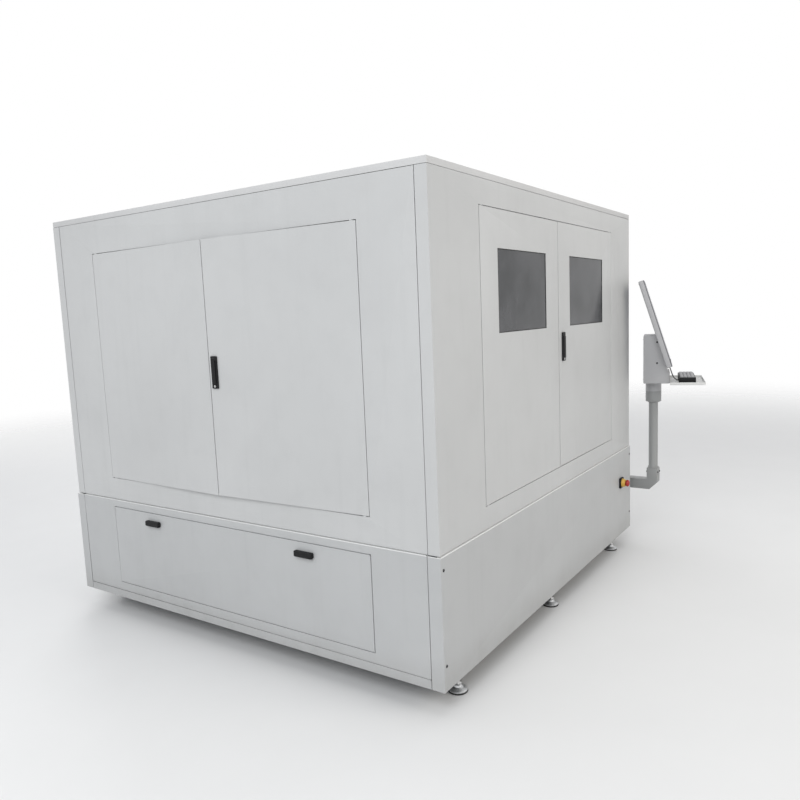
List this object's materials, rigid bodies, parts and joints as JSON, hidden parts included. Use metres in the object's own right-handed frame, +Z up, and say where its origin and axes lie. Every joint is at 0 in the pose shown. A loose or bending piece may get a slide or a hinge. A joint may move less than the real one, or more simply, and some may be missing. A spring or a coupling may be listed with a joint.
{
  "type": "fiber laser cutting machine",
  "caption": "Enclosed fiber laser cutting machine: window doors in front, loading doors and slag drawer at the side, moving gantry and swivelling console.",
  "frame": {"origin": "middle of the machine's box, on the floor", "axes": "front with the window doors looks along -Y, loading side with the slag drawer along -X, +Z up"},
  "size_m": [2.7382, 2.717, 2],
  "materials": {
    "bed_frame": "satin powder coat",
    "carriage": "machined",
    "console_arm": "satin powder coat",
    "console_box": "satin powder coat",
    "console_column": "satin powder coat",
    "cutting_head": "silver anodised",
    "cutting_table": "mill scale and soot",
    "emergency_stop_box": "satin black",
    "emergency_stop_button": "red",
    "enclosure_frame": "satin powder coat",
    "front_door_lock": "satin black",
    "front_door_lock_lever": "satin black",
    "front_drawer_pull": "satin black",
    "front_drawer_runner": "zinc plated",
    "front_left_door": "satin powder coat",
    "front_left_foot": "zinc plated",
    "front_left_window": "dark tint",
    "front_lower_panel": "satin powder coat",
    "front_middle_foot": "zinc plated",
    "front_right_door": "satin powder coat",
    "front_right_foot": "zinc plated",
    "front_right_window": "dark tint",
    "front_upper_panel": "satin powder coat",
    "fume_outlet": "zinc plated",
    "gantry_beam": "machined",
    "head_lift_motor": "machined",
    "head_slide": "machined",
    "keyboard": "satin black",
    "keyboard_lead": "black sheath",
    "keyboard_tray": "satin powder coat",
    "left_gantry_motor": "machined",
    "left_guide_rail": "ground",
    "left_lower_panel": "satin powder coat",
    "left_rack": "ground",
    "left_sill": "satin powder coat",
    "left_upper_panel": "satin powder coat",
    "lower_cross_rail": "ground",
    "monitor": "satin powder coat",
    "nozzle": "copper coloured",
    "power_inlet": "zinc plated",
    "rear_drawer_pull": "satin black",
    "rear_drawer_runner": "zinc plated",
    "rear_left_foot": "zinc plated",
    "rear_lower_panel": "satin powder coat",
    "rear_middle_foot": "zinc plated",
    "rear_right_foot": "zinc plated",
    "rear_upper_panel": "satin powder coat",
    "right_gantry_motor": "machined",
    "right_guide_rail": "ground",
    "right_lower_panel": "satin powder coat",
    "right_rack": "ground",
    "right_sill": "satin powder coat",
    "right_upper_panel": "satin powder coat",
    "roof_panel": "satin powder coat",
    "side_door_lock": "satin black",
    "side_door_lock_lever": "satin black",
    "side_front_door": "satin powder coat",
    "side_rear_door": "satin powder coat",
    "slag_drawer": "satin powder coat",
    "upper_cross_rail": "ground"
  },
  "bodies": {
    "cabinet": {"bed_frame": "bed_frame", "console_arm": "console_arm", "console_column": "console_column", "cutting_table": "cutting_table", "emergency_stop_box": "emergency_stop_box", "enclosure_frame": "enclosure_frame", "front_drawer_runner": "front_drawer_runner", "front_left_foot": "front_left_foot", "front_lower_panel": "front_lower_panel", "front_middle_foot": "front_middle_foot", "front_right_foot": "front_right_foot", "front_upper_panel": "front_upper_panel", "fume_outlet": "fume_outlet", "left_guide_rail": "left_guide_rail", "left_lower_panel": "left_lower_panel", "left_rack": "left_rack", "left_sill": "left_sill", "left_upper_panel": "left_upper_panel", "power_inlet": "power_inlet", "rear_drawer_runner": "rear_drawer_runner", "rear_left_foot": "rear_left_foot", "rear_lower_panel": "rear_lower_panel", "rear_middle_foot": "rear_middle_foot", "rear_right_foot": "rear_right_foot", "rear_upper_panel": "rear_upper_panel", "right_guide_rail": "right_guide_rail", "right_lower_panel": "right_lower_panel", "right_rack": "right_rack", "right_sill": "right_sill", "right_upper_panel": "right_upper_panel", "roof_panel": "roof_panel"},
    "front_left_door": {"front_left_door": "front_left_door", "front_left_window": "front_left_window"},
    "front_right_door": {"front_right_door": "front_right_door", "front_right_window": "front_right_window", "front_door_lock": "front_door_lock"},
    "front_lever": {"front_door_lock_lever": "front_door_lock_lever"},
    "side_rear_door": {"side_rear_door": "side_rear_door"},
    "side_front_door": {"side_front_door": "side_front_door", "side_door_lock": "side_door_lock"},
    "side_lever": {"side_door_lock_lever": "side_door_lock_lever"},
    "drawer": {"slag_drawer": "slag_drawer", "front_drawer_pull": "front_drawer_pull", "rear_drawer_pull": "rear_drawer_pull"},
    "stop_button": {"emergency_stop_button": "emergency_stop_button"},
    "gantry": {"gantry_beam": "gantry_beam", "left_gantry_motor": "left_gantry_motor", "right_gantry_motor": "right_gantry_motor", "lower_cross_rail": "lower_cross_rail", "upper_cross_rail": "upper_cross_rail"},
    "carriage": {"carriage": "carriage", "head_lift_motor": "head_lift_motor"},
    "head": {"head_slide": "head_slide", "cutting_head": "cutting_head", "nozzle": "nozzle"},
    "console": {"console_box": "console_box", "monitor": "monitor", "keyboard_tray": "keyboard_tray", "keyboard": "keyboard", "keyboard_lead": "keyboard_lead"}
  },
  "joints": [
    {"name": "front_left_door_hinge", "type": "hinge", "parent": "cabinet", "child": "front_left_door", "pos_m": [-0.94395, -0.90848, 0.709], "axis": [0, 0, -1], "range_deg": [0, 100]},
    {"name": "front_right_door_hinge", "type": "hinge", "parent": "cabinet", "child": "front_right_door", "pos_m": [0.58405, -0.90848, 0.709], "axis": [0, 0, 1], "range_deg": [0, 100]},
    {"name": "front_lever_pull", "type": "hinge", "parent": "front_right_door", "child": "front_lever", "pos_m": [-0.12895, -0.92358, 1.3365], "axis": [-1, 0, 0], "range_deg": [0, 35]},
    {"name": "side_rear_door_hinge", "type": "hinge", "parent": "cabinet", "child": "side_rear_door", "pos_m": [-1.32595, 0.95902, 0.724], "axis": [0, 0, -1], "range_deg": [-1.8, 108]},
    {"name": "side_front_door_hinge", "type": "hinge", "parent": "cabinet", "child": "side_front_door", "pos_m": [-1.32595, -0.58698, 0.724], "axis": [0, 0, 1], "range_deg": [-1.8, 108]},
    {"name": "side_lever_pull", "type": "hinge", "parent": "side_front_door", "child": "side_lever", "pos_m": [-1.36427, 0.15169, 1.3105], "axis": [-0.0314, 0.9995, 0], "range_deg": [0, 35]},
    {"name": "drawer_slide", "type": "slide", "parent": "cabinet", "child": "drawer", "axis": [-1, 0, 0], "range_m": [0, 0.9]},
    {"name": "stop_press", "type": "slide", "parent": "cabinet", "child": "stop_button", "axis": [0, 1, 0], "range_m": [0, 0.005]},
    {"name": "gantry_travel", "type": "slide", "parent": "cabinet", "child": "gantry", "axis": [0, 1, 0], "range_m": [-0.75, 0.35]},
    {"name": "carriage_travel", "type": "slide", "parent": "gantry", "child": "carriage", "axis": [1, 0, 0], "range_m": [-0.44, 1.03]},
    {"name": "head_lift", "type": "slide", "parent": "carriage", "child": "head", "axis": [0, 0, 1], "range_m": [-0.05, 0.07]},
    {"name": "console_swivel", "type": "hinge", "parent": "cabinet", "child": "console", "pos_m": [1.08505, -1.02748, 0.95], "axis": [0, 0, 1], "range_deg": [-12, 60]}
  ]
}
